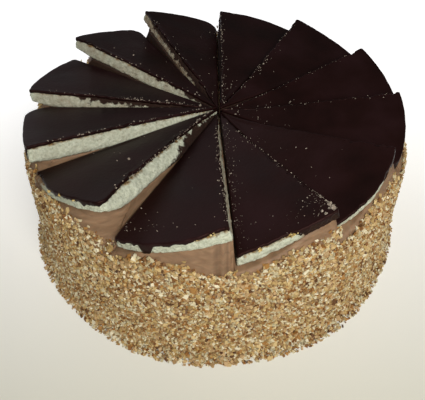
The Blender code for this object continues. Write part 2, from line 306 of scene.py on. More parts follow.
def rough(points, size, seed, octaves=3):
    """Smooth noise from -1 to 1 at points, with features of a size in metres."""
    shift = Vector((seed * 7.3, seed * 3.1, seed * 5.7))
    return np.array([
        noise.fractal(Vector(p) / size + shift, 0.8, 2.1, octaves) for p in np.asarray(points, float)
    ])


def foot_pile(height):
    """How far the loose nuts round the foot stand out from the wall."""
    return (FOOT_RADIUS - WALL_RADIUS) * np.exp(-height / PILE_FALL)


def wall_radius(height, pile=1):
    """Radius of the drum over its nuts, at heights above the foot, with a share of the loose pile."""
    height = np.asarray(height, float)
    wall = WALL_RADIUS + (SHOULDER_RADIUS - WALL_RADIUS) * height / CREAM_HEIGHT + foot_pile(height) * pile
    share = np.clip((height - CREAM_HEIGHT) / (CREST_HEIGHT - CREAM_HEIGHT), 0, 1)
    return np.where(height > CREAM_HEIGHT, SHOULDER_RADIUS + (CREST_RADIUS - SHOULDER_RADIUS) * share, wall)


def rounded(radius, distance):
    """How far a round corner draws an edge in, at a distance beside the corner."""
    inside = np.clip(radius - distance, 0, radius)
    return radius - np.sqrt(radius ** 2 - inside ** 2)


def fan_azimuth(x, y):
    """Azimuth of points about the middle of the fan, in degrees."""
    return np.degrees(np.arctan2(y - FAN_CENTRE.y, x - FAN_CENTRE.x))


def tilted_width(piece):
    """The slice's angle in its own tilted plane."""
    width = math.radians(piece.width)
    return math.atan2(math.sin(width), math.cos(width) * math.cos(math.radians(piece.tilt)))


def bed(piece):
    """The slice's own axes: tip, along its low edge, across it uphill, and up."""
    lead = math.radians(piece.lead)
    tilt = math.radians(piece.tilt)
    middle = math.radians(piece.lead + piece.width / 2)
    along = Vector((math.cos(lead), math.sin(lead), 0))
    sideways = Vector((-math.sin(lead), math.cos(lead), 0))
    across = sideways * math.cos(tilt) + Vector((0, 0, math.sin(tilt)))
    tip = FAN_CENTRE + Vector((math.cos(middle), math.sin(middle), 0)) * TIP_CLEARANCE
    tip.z = CREAM_HEIGHT + piece.lift * MM
    return tip, along, across, along.cross(across)


def bed_height(piece, x, y, level=0):
    """Height of the slice's own plane over the points x, y, raised or lowered to a level."""
    tip, _, _, up = bed(piece)
    return tip.z - (up.x * (x - tip.x) + up.y * (y - tip.y) - level) / up.z


# Seen along some rims, in millimetres at shares of the rim from its low corner on: how much
# lower the sponge hangs, how far the chocolate is broken back, and how far it runs down
RIM_SAG = {
    1: ((0.6, 0), (1, 1.2)),
    2: ((0, 1.6), (0.15, 2.2), (0.45, 1.6), (0.65, 0)),
    3: ((0, 0.4), (0.3, 1.2), (0.5, 0.8), (0.62, 0)),
}
RIM_SETBACK = {
    1: ((0.7, 0), (0.85, 1.6), (1, 2.2)),
    2: ((0, 1), (0.12, 1.4), (0.5, 1.2), (0.6, 0)),
    12: ((0, 4), (0.2, 3), (0.32, 0.6), (0.5, 0), (1, 0)),
}
RIM_DRIP = {
    1: ((0, 1), (1, 1)),
    2: ((0.55, 0.5), (0.62, 3), (0.85, 5), (1, 6)),
    3: ((0, 0.1), (0.6, 0.1), (0.7, 3.6), (1, 3.6)),
    12: ((0, 0.2), (0.3, 0.5), (0.45, 1.7), (0.9, 1.7), (1, 0.4)),
}
# The same way, how thickly cream is smeared over the rim, from 0 to 1, and how far down it
# chocolate is smeared, where more than 1 covers it whole
RIM_SMEAR = {2: ((0.55, 0), (0.66, 1)), 3: ((0.6, 0), (0.72, 1)), 12: ((0.18, 1), (0.34, 0))}
RIM_DARK = {2: ((0.58, 0), (0.68, 1.4)), 3: ((0.6, 0), (0.7, 1.4))}


def along_rim(table, index, share, usual=0):
    """A value along the rim of one slice, from a table of points."""
    points = table.get(index + 1, ((0, usual),))
    return np.interp(share, [point[0] for point in points], [point[1] for point in points])


def underside(piece, distance, share=0.5):
    """Level of the sponge's underside, which rises to a thinner rim, at a share of the rim."""
    inside = SPONGE_TOP - piece.thick * MM
    sag = along_rim(RIM_SAG, SLICES.index(piece), share) * MM
    outward = np.clip((distance - piece.reach * MM + TAPER) / (TAPER - RAISED_CORNER), 0, 1)
    return inside + ((piece.thick - piece.rim) * MM - sag) * outward


def walls(index):
    """Azimuths of the cream steps before and after a slice, in degrees."""
    start = SLICES[index - 1].lead + SLICES[index - 1].width
    end = SLICES[index].lead + SLICES[index].width
    while start > end:
        start -= 360
    return start, end


# Where the nuts are pressed on higher: azimuth, width in degrees, rise in millimetres
COAT_RISES = ((-25, 24, 6), (-150, 14, 8))
# The nuts stop this far below the sponge
COAT_MARGIN = 1 * MM


def coat_line(x, y):
    """Height at which the nuts end at points on the wall."""
    azimuth = np.degrees(np.arctan2(y, x))
    turn = np.radians(azimuth)
    wave = np.sin(5 * turn + 1) + 0.6 * np.sin(11 * turn)
    dip = np.exp(-((azimuth - DIP_AZIMUTH) / DIP_WIDTH) ** 2)
    line = COAT_TOP + COAT_WAVE * wave - DIP_DEPTH * dip
    for middle, width, rise in COAT_RISES:
        line = line + rise * MM * np.exp(-((azimuth - middle) / width) ** 2)
    about_fan = fan_azimuth(x, y)
    for index, piece in enumerate(SLICES):
        following = SLICES[(index + 1) % len(SLICES)]
        sector = (following.lead - piece.lead) % 360
        over = (about_fan - piece.lead) % 360 < sector
        share = ((about_fan - piece.lead) % 360) / piece.width
        rim = bed_height(piece, x, y, underside(piece, piece.reach * MM, share))
        line = np.where(over, np.minimum(line, rim - COAT_MARGIN), line)
    return line


# Radius at which each slice's cream step is rounded off at the wall, in millimetres
STEP_ROUND = (5, 3, 7, 9, 9, 9, 9, 9, 12, 12, 12, 24)
# The rounding fades in over this height, from so far below the next slice's bed
STEP_FADE = 14 * MM
STEP_FADE_BELOW = 8 * MM
# How far above the next slice's bed the nuts reach at each step, in millimetres
STEP_NUTS = (-1.5, 14, 6, 6, 6, 6, 6, 4, 2, 1, 0, -1)
# How steeply their edge climbs away from the step
STEP_CLIMB = 0.95


def pull_share(height, next_bed):
    """Share of a step's rounding at a height: none below the next slice's bed, all of it above."""
    share = np.clip((height - next_bed + STEP_FADE_BELOW) / STEP_FADE, 0, 1)
    return share ** 2 * (3 - 2 * share)


def beside_steps(x, y):
    """For points on the wall: their slice, how far before its step they are, and the next bed's height."""
    about_fan = fan_azimuth(x, y)
    own = np.zeros(len(x), int)
    aside = np.zeros(len(x))
    next_bed = np.zeros(len(x))
    for index in range(len(SLICES)):
        start, end = walls(index)
        following = SLICES[(index + 1) % len(SLICES)]
        over = (about_fan - start) % 360 < end - start
        own = np.where(over, index, own)
        aside = np.where(over, np.radians((end - about_fan) % 360) * CREST_RADIUS, aside)
        next_bed = np.where(over, bed_height(following, x, y), next_bed)
    return own, aside, next_bed


CREAM_COLUMNS = 34
STEP_COLUMNS = 6
# How far beside a step its columns start, in degrees
STEP_LEAN = 0.2
# How dark the cream step after each slice is painted, from chocolate smears and painted shade in the gap
# under the slice's raised side, and how far out that ends
STEP_SMEAR_AND_SHADE = (0, 0, 0, 0, 0, 0, 0.9, 0.95, 0.95, 0.9, 0.1, 0)
DARK_STEP_END = 127 * MM
DARK_STEP_FADE = 5 * MM
TOP_ROWS = 34
EDGE_ROWS = 7
WALL_ROWS = 34
EDGE_ROUND = 3 * MM
# The cream stays this far below each slice
BED_GAP = 0.05 * MM
# Upright cuts that the knife left in the bare cream at the front: places in millimetres from the middle
KNIFE_MARKS = (0.2, 2.3, 5.4)
KNIFE_WIDTH = 0.6 * MM
KNIFE_DEPTH = 1.1 * MM
KNIFE_LOWEST = 64 * MM
KNIFE_FADE = 8 * MM
# How dark the cuts are painted, as painted shade in the grooves
KNIFE_PAINTED_SHADE = 0.32
# Relief of the cream: round the wall, in upright ridges over the dip, and in swirls on top
SPREAD_MARKS = 0.3 * MM
RIDGE_WIDTH = 3
RIDGE_COUNT = 4.6
RIDGE_DEPTH = 0.7 * MM
SWIRL_DEPTH = 0.3 * MM
SWIRL_SINK = 0.2 * MM
# The marks fade in over this height from the foot, and the hub lies so far below the beds
FOOT_FADE = 4 * MM
HUB_SINK = 3 * MM


def cream_column(index, azimuth, end):
    """Points down one column of the cream: out along the bed, round the rim, down the wall."""
    piece = SLICES[index]
    following = SLICES[(index + 1) % len(SLICES)]
    centre = np.array(FAN_CENTRE)
    turn = math.radians(azimuth)
    way = np.array([math.cos(turn), math.sin(turn)])
    beside = centre[0] * way[0] + centre[1] * way[1]
    aside = max(0.0, math.radians(end - azimuth) * CREST_RADIUS)
    pull = rounded(STEP_ROUND[index] * MM, aside)

    def reach(radius):
        return -beside + np.sqrt(radius ** 2 - centre[0] ** 2 - centre[1] ** 2 + beside ** 2)

    def top(distance):
        share = (azimuth - piece.lead) / piece.width % len(SLICES)
        level = underside(piece, distance, share) - BED_GAP
        return bed_height(piece, centre[0] + way[0] * distance, centre[1] + way[1] * distance, level)

    def wall(height):
        at_rim = reach(wall_radius(height, pile=0) - COAT_DEPTH)
        next_bed = bed_height(following, centre[0] + way[0] * at_rim, centre[1] + way[1] * at_rim)
        return at_rim - pull * pull_share(height, next_bed)

    rim = reach(SHOULDER_RADIUS)
    for _ in range(6):
        rim = float(wall(top(rim)))
    rim_height = float(top(rim))
    flat = np.linspace(0.5 * MM, rim - EDGE_ROUND, TOP_ROWS)
    around = np.linspace(0, math.pi / 2, EDGE_ROWS + 1)[1:]
    edge = rim - EDGE_ROUND + EDGE_ROUND * np.sin(around)
    edge_height = rim_height - EDGE_ROUND * (1 - np.cos(around))
    wall_height = (rim_height - EDGE_ROUND) * np.linspace(1, 0, WALL_ROWS + 1)[1:] ** 0.9
    distance = np.concatenate([flat, edge, wall(wall_height)])
    height = np.concatenate([top(flat), edge_height, wall_height])
    return np.stack([centre[0] + way[0] * distance, centre[1] + way[1] * distance, height], -1)


def make_cream(look):
    """The cream drum: stepped top, soft rims, spread wall. The nuts go on it later."""
    columns = []
    for index in range(len(SLICES)):
        start, end = walls(index)
        even = np.linspace(0, 1, CREAM_COLUMNS)
        warped = even - 0.7 * np.sin(even * math.tau) / math.tau
        own = [
            cream_column(index, start + STEP_LEAN + (end - start - 2 * STEP_LEAN) * share, end)
            for share in warped
        ]
        following = (index + 1) % len(SLICES)
        first = cream_column(following, end + STEP_LEAN, end + SLICES[following].width)
        between = [
            own[-1] + (first - own[-1]) * (k / (STEP_COLUMNS + 1)) for k in range(1, STEP_COLUMNS + 1)
        ]
        columns += own + between
    # The steps after the back slices are darkened as chocolate smears and painted shade
    smear_and_shade = np.concatenate([
        np.repeat([0, dark], [CREAM_COLUMNS - 2, STEP_COLUMNS + 2]) for dark in STEP_SMEAR_AND_SHADE
    ])
    points = np.array(columns).transpose(1, 0, 2)
    rows, count, _ = points.shape
    points = points.reshape(-1, 3)
    inward = np.hypot(points[:, 0] - FAN_CENTRE.x, points[:, 1] - FAN_CENTRE.y)
    smear_and_shade = np.tile(smear_and_shade, rows) * np.clip((DARK_STEP_END - inward) / DARK_STEP_FADE, 0, 1)

    # Spread marks run round the wall and die out near the foot
    turn = np.arctan2(points[:, 1], points[:, 0])
    unrolled = np.stack([turn * WALL_RADIUS / 3, np.zeros(len(turn)), points[:, 2]], -1)
    marks = rough(unrolled, 5 * MM, 1) * SPREAD_MARKS
    azimuth = np.degrees(turn)
    near_dip = np.exp(-((azimuth - DIP_AZIMUTH - 2) / RIDGE_WIDTH) ** 2)
    ridge = near_dip * np.sin(azimuth * RIDGE_COUNT) * RIDGE_DEPTH
    row = np.repeat(np.arange(rows), count)
    on_wall = row >= TOP_ROWS
    bare = on_wall * (points[:, 1] < 0) * np.clip((points[:, 2] - KNIFE_LOWEST) / KNIFE_FADE, 0, 1)
    for across in KNIFE_MARKS:
        cut = np.exp(-((points[:, 0] - across * MM) / KNIFE_WIDTH) ** 2)
        ridge = ridge - KNIFE_DEPTH * cut * bare
        # Painted shade darkens the cream inside each cut
        smear_and_shade = np.maximum(smear_and_shade, KNIFE_PAINTED_SHADE * cut * bare)
    outward = np.stack([np.cos(turn), np.sin(turn), np.zeros(len(turn))], -1)
    grounded = np.clip(points[:, 2] / FOOT_FADE, 0, 1)
    points += outward * ((marks + ridge) * on_wall * grounded)[:, None]
    swirl = rough(points, 9 * MM, 2) * SWIRL_DEPTH
    points[:, 2] += np.where(on_wall, 0, swirl - SWIRL_SINK)
    hub = np.array([[FAN_CENTRE.x, FAN_CENTRE.y, CREAM_HEIGHT - HUB_SINK], [0, 0, 0]])
    points = np.concatenate([points, hub])
    # Rows run outwards and down, so the quads are turned to face out
    quads = grid_faces(rows, count)[:, ::-1]
    first = np.arange(count)
    after = (first + 1) % count
    top_fan = np.stack([np.full(count, rows * count), first, after], -1)
    last = (rows - 1) * count
    foot_fan = np.stack([np.full(count, rows * count + 1), last + after, last + first], -1)
    faces = quads.tolist() + top_fan.tolist() + foot_fan.tolist()
    item = mesh_piece("cream_drum", points, faces, look)
    store_values(item, "smear_and_shade", np.concatenate([smear_and_shade, [0, 0]]))
    return item


SIDE_POINTS = 90
RIM_POINTS = 80
LOW_SIDE, RIM, RAISED_SIDE = 0, 1, 2
# Radius of each slice's raised corner, in millimetres
RAISED_ROUND = (1.5, 1.5, 1.5, 1.5, 1.5, 1.5, 1.5, 1.5, 1.5, 2, 2, 5)
Outline = namedtuple("Outline", "u v out_u out_v upright kind share distance limit")


def slice_outline(piece):
    """Points round a slice in its own plane: up the low side, round the rim, down the raised side."""
    wide = tilted_width(piece)
    reach = piece.reach * MM
    round_low = piece.corner * MM
    round_raised = RAISED_ROUND[SLICES.index(piece)] * MM
    share_low = np.arange(SIDE_POINTS) / SIDE_POINTS
    even = np.linspace(0, 1, RIM_POINTS + 1)
    share_rim = even - 0.75 * np.sin(even * math.tau) / math.tau
    share_raised = np.arange(SIDE_POINTS - 1, 0, -1) / SIDE_POINTS
    angle = np.concatenate([np.zeros(SIDE_POINTS), wide * share_rim, np.full(SIDE_POINTS - 1, wide)])
    rim = reach + piece.bow * MM * np.sin(math.pi * share_rim)
    rim -= rounded(round_low, reach * wide * share_rim)
    rim -= rounded(round_raised, reach * wide * (1 - share_rim))
    distance = np.concatenate([share_low * (reach - round_low), rim, share_raised * (reach - round_raised)])
    u, v = distance * np.cos(angle), distance * np.sin(angle)
    kind = np.repeat([LOW_SIDE, RIM, RAISED_SIDE], [SIDE_POINTS, RIM_POINTS + 1, SIDE_POINTS - 1])
    upright = np.where(kind == RIM, 1 - v / (reach * math.sin(wide)), 1)
    upright = np.where(kind == RAISED_SIDE, np.clip(1 - distance / TIP_ZONE, 0, 1), upright)
    run_u, run_v = np.roll(u, -1) - np.roll(u, 1), np.roll(v, -1) - np.roll(v, 1)
    length = np.hypot(run_u, run_v)
    share = np.concatenate([share_low, share_rim, share_raised])
    limit = 0.18 * distance + 0.03 * MM
    return Outline(u, v, run_v / length, -run_u / length, upright, kind, share, distance, limit)


def ring(piece, outline, level, out):
    """World points of an outline at a level in the slice's axes, moved outwards."""
    tip, along, across, up = (np.array(axis) for axis in bed(piece))
    level = np.broadcast_to(level, len(outline.u))
    out = np.maximum(np.broadcast_to(out, len(outline.u)), -outline.limit)
    lean = np.where((outline.kind == RAISED_SIDE) & (level < 0), 1, outline.upright)
    u = outline.u + outline.out_u * out
    v = outline.v + outline.out_v * out + lean * level * math.tan(math.radians(piece.tilt))
    return tip + u[:, None] * along + v[:, None] * across + level[:, None] * up


def capped(name, rings, look):
    """A closed skin through rings, with a fan at each end."""
    count = len(rings[0])
    rows = len(rings)
    points = np.concatenate(rings + [rings[0].mean(0)[None], rings[-1].mean(0)[None]])
    here = np.arange(count)
    after = (here + 1) % count
    last = (rows - 1) * count
    under = np.stack([np.full(count, rows * count), after, here], -1)
    over = np.stack([np.full(count, rows * count + 1), last + here, last + after], -1)
    faces = grid_faces(rows, count).tolist() + under.tolist() + over.tolist()
    return mesh_piece(name, points, faces, look)


SPONGE_ROWS = 14
# Per slice, in millimetres: how far the foot of the cut face bulges, how far its top is torn
# back, and how deep its long waves are
CUT_BULGE = (0.3, 0.3, 0.3, 0.3, 0.3, 0.3, 0.3, 0.4, 0.8, 0.3, 0.9, 2.2)
CUT_TORN = (0.3, 0.4, 0.4, 0.3, 0.3, 0.3, 0.3, 0.6, 1.0, 0.6, 0.8, 2.2)
CUT_SLACK = (0.4, 0.4, 0.4, 0.4, 0.4, 0.4, 0.4, 0.5, 0.5, 0.4, 0.4, 0.9)
# How much cream is smeared over the cut face, which on slices 8 to 10 also darkens it as painted shade
SIDE_SMEAR_AND_SHADE = (0.7, 0.1, 0.1, 0.1, 0.1, 0.1, 0.3, 0.85, 0.6, 0.58, 0.3, 0.05)
# How far down the cut face chocolate is dragged, how much further it darkens toward the tip, how far up from
# the foot toward the tip it darkens, and at what distance from the tip that starts, in millimetres. The
# darkening toward the tip and up from the foot, where the face meets the next slice, is painted shade as well
# as chocolate
SIDE_DRAG = (0.35, 0.5, 1.3, 1.3, 1.3, 1.3, 1.3, 0.6, 0.15, 0.1, 0.05, 0.1)
TIP_DRAG_AND_SHADE = (0, 0, 0, 0, 0, 0, 0, 0.2, 0.35, 0.48, 0.15, 0)
FOOT_DRAG_AND_SHADE = (0, 0, 0, 0, 0, 0, 0.5, 0.3, 0.45, 0.5, 0.25, 0.8)
FOOT_REACH = (88, 88, 88, 88, 88, 88, 88, 88, 80, 128, 88, 88)
TIP_FADE = 54 * MM
# A side that is dragged over whole, and the value where none is
WHOLE_DRAG = 1.3
NO_DRAG = -0.5
# The cut face is torn past this distance from the tip, more so over the next stretch, and less
# toward the corner, over this share of its length
TORN_FROM = 20 * MM
TORN_EASE = 35 * MM
CORNER_EASE = 0.12
# Relief of the crumb: how far it lies back, its torn waves, its holes, and its round edges
CRUMB_BACK = 0.25 * MM
CRUMB_TORN = 0.6 * MM
CRUMB_HOLES = 1.0 * MM
CRUMB_EDGE = 0.7 * MM
LOW_SIDE_BACK = 0.1 * MM


def along_cut(outline):
    """Weight along the raised side: nothing at the tip and the corner, full between."""
    inner = np.clip((outline.distance - TORN_FROM) / TORN_EASE, 0, 1)
    outer = np.clip((1 - outline.share) / CORNER_EASE, 0, 1)
    return np.where(outline.kind == RAISED_SIDE, inner * outer, 0)


def make_sponge(index, piece, look):
    """One sponge slice with a torn, open crumb on its cut side and rim."""
    outline = slice_outline(piece)
    turned = np.select([outline.kind == LOW_SIDE, outline.kind == RIM], [0, outline.share], 1)
    low = underside(piece, outline.distance, turned)
    middle = along_cut(outline)
    shares = np.linspace(0, 1, SPONGE_ROWS)
    rings = [ring(piece, outline, low, -3 * MM)]
    for share in shares:
        level = low + (SPONGE_TOP - low) * share
        nominal = ring(piece, outline, level, 0)
        torn = rough(nominal, 2.6 * MM, 11 + index, 4)
        holes = np.clip(rough(nominal, 1.2 * MM, 31 + index, 2), 0, 1)
        slack = rough(nominal, 14 * MM, 51 + index, 2)
        depth = CRUMB_BACK + CRUMB_TORN * torn + CRUMB_HOLES * holes ** 1.4 + CUT_SLACK[index] * MM * slack
        depth += CRUMB_EDGE * (2 * share - 1) ** 6
        depth += middle * (CUT_TORN[index] * share ** 2 - CUT_BULGE[index] * (1 - share)) * MM
        depth = np.where(outline.kind == LOW_SIDE, LOW_SIDE_BACK, depth)
        rings.append(ring(piece, outline, level, -depth))
    item = capped(f"sponge_{index + 1:02d}", rings, look)
    count = len(outline.u)
    height = np.concatenate([np.zeros(count), np.repeat(shares, count), [0, 1]])
    smear_and_shade_amount = np.where(outline.kind == RIM, along_rim(RIM_SMEAR, index, outline.share), SIDE_SMEAR_AND_SHADE[index])
    smear_and_shade_amount = np.concatenate([np.tile(smear_and_shade_amount, SPONGE_ROWS + 1), [0, 0]])
    near_tip = np.clip((FOOT_REACH[index] * MM - outline.distance) / TIP_FADE, 0, 1)
    inside = np.clip((0.96 - outline.share) / 0.06, 0, 1) if SIDE_DRAG[index] < 1 else 1
    from_top = SIDE_DRAG[index] * inside + TIP_DRAG_AND_SHADE[index] * near_tip
    from_foot = np.where(outline.kind == RAISED_SIDE, FOOT_DRAG_AND_SHADE[index] * near_tip, 0)
    depth = np.select(
        [outline.kind == LOW_SIDE, outline.kind == RAISED_SIDE, outline.kind == RIM],
        [WHOLE_DRAG, from_top, along_rim(RIM_DARK, index, outline.share)], 0,
    )
    drag_and_shade = np.clip(np.tile(depth, SPONGE_ROWS + 1) * 1.4 - (1 - height[:-2]), NO_DRAG, 1)
    upward = np.clip(np.tile(from_foot, SPONGE_ROWS + 1) * 1.8 - height[:-2], NO_DRAG, 1)
    drag_and_shade = np.concatenate([np.maximum(drag_and_shade, upward), [NO_DRAG, NO_DRAG]])
    store_values(item, "height_share", height)
    store_values(item, "smear_and_shade", smear_and_shade_amount)
    store_values(item, "drag_and_shade", drag_and_shade)
    return item


# The chocolate's top rolls gently, and lies a little low
CROWN_WAVE = 0.4 * MM
CROWN_SINK = 0.15 * MM


def crown_grid(piece, outline, crown, first, index):
    """The slice's top inside its crown ring: inner points, and quads between them and the ring."""
    count = len(crown)
    up = np.array(bed(piece)[3])
    table = np.zeros((SIDE_POINTS + 1, RIM_POINTS + 1), int)
    rows = np.arange(1, SIDE_POINTS + 1)
    table[1:, 0] = first + rows
    table[1:, -1] = first + count - rows
    table[-1, :] = first + SIDE_POINTS + np.arange(RIM_POINTS + 1)
    rim = crown[SIDE_POINTS:SIDE_POINTS + RIM_POINTS + 1]
    across = outline.share[SIDE_POINTS:SIDE_POINTS + RIM_POINTS + 1][:, None]
    swell = rim - (rim[0] + (rim[-1] - rim[0]) * across)
    inner = []
    for row in range(1, SIDE_POINTS):
        low, high = crown[row], crown[count - row]
        share = row / SIDE_POINTS
        line = low + (high - low) * across + swell * share ** 2
        inner.append(line[1:-1])
    inner = np.array(inner)
    spread = np.minimum(across, 1 - across)[1:-1, 0]
    row = np.arange(1, SIDE_POINTS)[:, None] / SIDE_POINTS
    inside = np.clip(spread * row * 18, 0, 1) * np.clip((1 - row) * 14, 0, 1)
    inner = inner.reshape(-1, 3)
    wave = rough(inner, 32 * MM, 151 + index, 2) * CROWN_WAVE - CROWN_SINK
    inner = inner + up * (wave * inside.reshape(-1))[:, None]
    table[1:-1, 1:-1] = first + count + np.arange(len(inner)).reshape(SIDE_POINTS - 1, RIM_POINTS - 1)
    near, far = table[1:-1], table[2:]
    quads = np.stack([near[:, :-1], far[:, :-1], far[:, 1:], near[:, 1:]], -1).reshape(-1, 4)
    tip = np.stack([np.full(RIM_POINTS, first), table[1, :-1], table[1, 1:]], -1)
    return inner, quads.tolist() + tip.tolist()


# The coated parts of a rim fade out over this share of it
COATED_EASE = 0.03
# In millimetres: the furthest drip, the deepest small chip, and a large bite in the cut edge
DRIP_LIMIT = 3.6
CHIP_LIMIT = 1.6
BITE_DEPTH = 2.4


def make_glaze(index, piece, look):
    """The chocolate on one slice: soft top, broken cut edge, drips and coated parts of the rim."""
    outline = slice_outline(piece)
    kind, share = outline.kind, outline.share
    under = SPONGE_TOP + 0.02 * MM
    top = SPONGE_TOP + GAP + GLAZE_THICKNESS
    nominal = ring(piece, outline, under, 0)
    covered = np.zeros(len(share))
    for start, end in piece.coated:
        begun = np.clip((share - start) / COATED_EASE + 0.5, 0, 1) if start > 0 else 1
        unended = np.clip((end - share) / COATED_EASE + 0.5, 0, 1) if end < 1 else 1
        covered = np.maximum(covered, begun * unended)
    ragged = rough(nominal, 3.5 * MM, 71 + index, 4)
    drip = np.clip(along_rim(RIM_DRIP, index, share, 0.5) * (0.5 + 1.4 * ragged), 0, DRIP_LIMIT) * MM
    full = (piece.rim - 0.4 + 0.8 * rough(nominal, 4 * MM, 91 + index, 3)) * MM
    rim_drop = drip + (full - drip) * covered
    drop = np.where(kind == RIM, rim_drop, 0)
    chip = np.clip(0.15 + 0.9 * rough(nominal, 2.6 * MM, 111 + index, 4), 0, CHIP_LIMIT)
    chip += np.clip(rough(nominal, 9 * MM, 121 + index, 2) - 0.15, 0, 1) * BITE_DEPTH
    torn = CUT_TORN[index] * along_cut(outline)
    wobble = rough(nominal, 6 * MM, 131 + index, 2) * 0.2 * MM
    rim_out = (LIP_REACH - 0.3 * MM) * (1 - covered) + LIP_REACH * covered + wobble
    rim_out -= 0.5 * chip * MM * (1 - covered)
    setback = along_rim(RIM_SETBACK, index, share) * (1 + 0.5 * ragged) * MM
    outer = np.where(kind == RIM, rim_out - setback, -(chip + torn) * MM)
    outer = np.where(kind == LOW_SIDE, -0.05 * MM, outer)
    ends = np.clip(np.minimum(share, 1 - share) / 0.02, 0, 1)
    outer = np.where(kind == RIM, -0.1 * MM + (outer + 0.1 * MM) * ends, outer)
    inner = np.where(kind == RIM, -0.4 * MM - setback, -0.9 * MM)
    inner -= np.where(kind == RAISED_SIDE, (chip + torn) * MM, 0)
    low = under - drop
    rings = [
        ring(piece, outline, under, inner - 0.6 * MM),
        ring(piece, outline, low, inner),
        ring(piece, outline, low, outer - 0.25 * MM),
        ring(piece, outline, low + 0.3 * (top - low), outer),
        ring(piece, outline, low + 0.6 * (top - low), outer),
        ring(piece, outline, top - 0.6 * MM, outer),
        ring(piece, outline, top - 0.2 * MM, outer - 0.2 * MM),
        ring(piece, outline, top - 0.04 * MM, outer - 0.65 * MM),
        ring(piece, outline, top, outer - 1.4 * MM),
    ]
    rows = len(rings)
    count = len(share)
    inner_points, crown_faces = crown_grid(piece, outline, rings[-1], (rows - 1) * count, index)
    hub = rows * count + len(inner_points)
    points = np.concatenate(rings + [inner_points, rings[0].mean(0)[None]])
    here = np.arange(count)
    under_fan = np.stack([np.full(count, hub), (here + 1) % count, here], -1)
    faces = grid_faces(rows, count).tolist() + crown_faces + under_fan.tolist()
    return mesh_piece(f"chocolate_{index + 1:02d}", points, faces, look)


# The eight corners of a grain, before it is chipped and turned
GRAIN_CORNERS = np.array([(x, y, z) for z in (-1, 1) for y in (-1, 1) for x in (-1, 1)], float) * 0.5
# Two triangles for each side of a grain, facing out
GRAIN_FACES = np.array([
    (0, 2, 3), (0, 3, 1), (4, 5, 7), (4, 7, 6), (0, 1, 5), (0, 5, 4),
    (2, 6, 7), (2, 7, 3), (0, 4, 6), (0, 6, 2), (1, 3, 7), (1, 7, 5),
])
GRAIN_CHIP = 0.17
# Shares of a grain's length: its narrow end, and its width
GRAIN_NARROW = (0.45, 1)
GRAIN_WIDTH = (0.55, 0.95)
# No grain comes closer than this to the table or to the sides of the solids' box
BOX_MARGIN = 0.05 * MM


def foot_wave(azimuth):
    """How far the loose foot of the coat strays from a circle."""
    return FOOT_WAVE * (np.sin(3 * azimuth) + 0.7 * np.sin(7 * azimuth + 2))


def grains(name, places, outward, sizes, flatness, look, rng, tumble=0.5):
    """Chipped grains as one mesh: each lies on a surface, turned at random."""
    count = len(places)
    corners = GRAIN_CORNERS[None] + rng.uniform(-GRAIN_CHIP, GRAIN_CHIP, (count, 8, 3))
    pinch = rng.uniform(*GRAIN_NARROW, (count, 1, 1))
    corners = corners * np.where(corners[:, :, 2:] > 0, pinch, 1)
    shape = np.stack([np.ones(count), rng.uniform(*GRAIN_WIDTH, count), rng.uniform(*flatness, count)], -1)
    corners = corners * (shape * sizes[:, None])[:, None, :]
    spin = rng.uniform(0, math.tau, count)
    tip_a, tip_b = rng.normal(0, tumble, (2, count))
    one, zero = np.ones(count), np.zeros(count)
    cos, sin = np.cos(spin), np.sin(spin)
    turn = np.array([[cos, -sin, zero], [sin, cos, zero], [zero, zero, one]])
    cos, sin = np.cos(tip_a), np.sin(tip_a)
    roll = np.array([[one, zero, zero], [zero, cos, -sin], [zero, sin, cos]])
    cos, sin = np.cos(tip_b), np.sin(tip_b)
    nod = np.array([[cos, zero, sin], [zero, one, zero], [-sin, zero, cos]])
    side = np.cross(np.array([0.0, 0.0, 1.0]) + 0.01, outward)
    side /= np.linalg.norm(side, axis=1)[:, None]
    third = np.cross(outward, side)
    base = np.stack([side, third, outward], -1)
    turned = np.einsum("nij,jkn,kln,lmn,npm->npi", base, turn, roll, nod, corners, optimize=True)
    points = (turned + places[:, None, :]).reshape(-1, 3)
    points[:, 2] = np.maximum(points[:, 2], BOX_MARGIN)
    radius = np.hypot(points[:, 0], points[:, 1])
    widest = FOOT_RADIUS - COAT_DEPTH + foot_wave(np.arctan2(points[:, 1], points[:, 0]))
    points[:, :2] *= np.minimum(1, widest / radius)[:, None]
    for axis in (0, 1):
        points[:, axis] = np.clip(points[:, axis], CAD_LOW[axis] + BOX_MARGIN, CAD_HIGH[axis] - BOX_MARGIN)
    faces = (GRAIN_FACES[None] + 8 * np.arange(count)[:, None, None]).reshape(-1, 3).tolist()
    return mesh_piece(name, points, faces, look, smooth=False)


# Each roast: its piece, its share of the coat, and its shades
NUT_KINDS = (
    ("pale_nut_grains", 0.25, "#ab9f7b", "#c4b997", "#dbd3b6"),
    ("golden_nut_grains", 0.28, "#967c4e", "#b59963", "#c9b17f"),
    ("tan_nut_grains", 0.26, "#886d47", "#a18359", "#ba9d73"),
    ("toasted_nut_grains", 0.16, "#744c26", "#8e6230", "#a57a43"),
    ("brown_skin_grains", 0.05, "#523520", "#684627", "#7f5b33"),
)
COAT_GRAINS = 45500
PILE_GRAINS = 8000
PILE_TOP = 14 * MM
# Grains are laid so far above the coat's usual edge, and those past its real edge left out
COAT_SPARE = 9 * MM
COAT_EDGE = 0.6 * MM
COAT_FRAY = 1.0 * MM
GOLDEN_ANGLE = 2.39996323
# Usual size of a grain, how much the sizes spread, and their limits, in millimetres
GRAIN_SIZE = 1.8
GRAIN_SPREAD = 0.3
GRAIN_LIMITS = (1.0, 3.5)
NUT_FLATNESS = (0.4, 0.75)
# How deep the nuts are pressed in, in millimetres
NUT_DEPTHS = (-1.1, -0.1)


